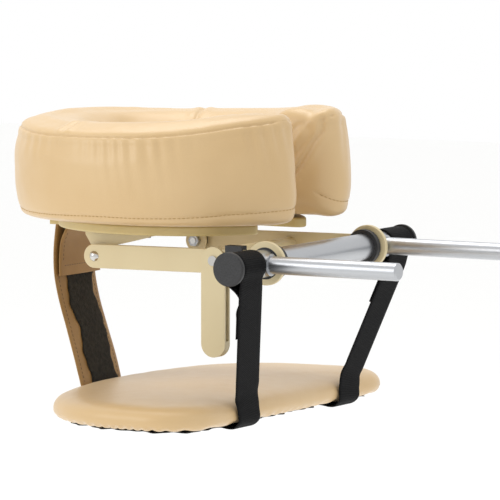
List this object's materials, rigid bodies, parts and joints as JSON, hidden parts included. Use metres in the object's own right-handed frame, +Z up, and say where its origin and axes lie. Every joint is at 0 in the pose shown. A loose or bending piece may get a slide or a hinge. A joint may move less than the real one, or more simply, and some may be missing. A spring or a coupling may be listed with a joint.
{
  "type": "face cradle cushion",
  "caption": "Horseshoe face cradle cushion on a tilting platform, with arms, clamp lever, posts for a massage table's end and a strap-hung padded arm shelf.",
  "frame": {"origin": "midpoint between the two posts, on the plane of the table's end where the post collars stop", "axes": "+X along the posts into the table, +Y away from the clamp lever's side, +Z up"},
  "size_m": [0.4395, 0.388, 0.2784],
  "materials": {
    "leatherette": "satin, fine grain",
    "foam": "matt open cell",
    "memory_foam": "matt open cell",
    "loop_fabric": "brushed loop pile",
    "hook_fabric": "moulded hooks",
    "webbing": "woven",
    "dust_cloth": "non-woven",
    "cream_paint": "satin powder coat",
    "cream_board": "satin paint",
    "bare_board": "sanded plywood",
    "aluminium": "satin drawn",
    "bright_steel": "polished",
    "zinc_steel": "zinc plated",
    "black_nylon": "moulded"
  },
  "bodies": {
    "base": {"crossbar": "aluminium", "post_near": "aluminium", "post_far": "aluminium", "post_collars": "aluminium", "crossbar_caps": "black_nylon", "arm_stop_rings": "black_nylon"},
    "arms": {"arm_near": "cream_paint", "arm_far": "cream_paint", "arm_bushes": "black_nylon", "arm_tie_tube": "cream_paint", "brake_shoe": "black_nylon"},
    "clamp_lever": {"clamp_lever": "cream_paint", "lever_pin": "bright_steel"},
    "platform": {"platform_plate": "cream_board", "strap_bar": "zinc_steel", "bracket_near": "cream_paint", "bracket_far": "cream_paint", "bracket_screws": "zinc_steel", "pivot_bolts": "bright_steel", "pivot_nuts": "zinc_steel", "pivot_spacers": "black_nylon", "platform_hook_strips": "hook_fabric"},
    "cushion": {"cushion_top_panel": "leatherette", "cushion_side_band": "leatherette", "cushion_base_panel": "leatherette", "cushion_base_foam": "foam", "cushion_memory_foam": "memory_foam", "cushion_loop_strips": "loop_fabric"},
    "arm_shelf": {"shelf_board": "bare_board", "shelf_foam": "foam", "shelf_cover": "leatherette", "shelf_dust_cloth": "dust_cloth", "rear_webbing_near": "webbing", "rear_webbing_far": "webbing", "front_strap_tail": "leatherette", "shelf_strap_screws": "zinc_steel"},
    "front_strap": {"front_strap": "leatherette", "strap_loop_strip": "loop_fabric"}
  },
  "joints": [
    {"name": "arm_height", "type": "hinge", "parent": "base", "child": "arms", "pos_m": [-0.013, 0, 0], "axis": [0, 1, 0], "range_deg": [-20, 30]},
    {"name": "lever_clamp", "type": "hinge", "parent": "arms", "child": "clamp_lever", "pos_m": [-0.066, 0, 0], "axis": [0, 1, 0], "range_deg": [0, 45]},
    {"name": "platform_tilt", "type": "hinge", "parent": "arms", "child": "platform", "pos_m": [-0.194, 0, -0.002], "axis": [0, 1, 0], "range_deg": [-20, 5]},
    {"name": "cushion_lift", "type": "slide", "parent": "platform", "child": "cushion", "axis": [0, 0, 1], "range_m": [0, 0.12]},
    {"name": "shelf_follow", "type": "hinge", "parent": "arms", "child": "arm_shelf", "pos_m": [-0.013, 0, 0], "axis": [0, 1, 0], "range_deg": [-6.5, 2]},
    {"name": "strap_follow", "type": "hinge", "parent": "platform", "child": "front_strap", "pos_m": [-0.27, 0, 0.0245], "axis": [0, 1, 0], "range_deg": [-4, 14]}
  ],
  "couplings": [
    {"joint": "shelf_follow", "follows": "platform_tilt", "ratio": 0.29},
    {"joint": "strap_follow", "follows": "platform_tilt", "ratio": -0.63}
  ]
}
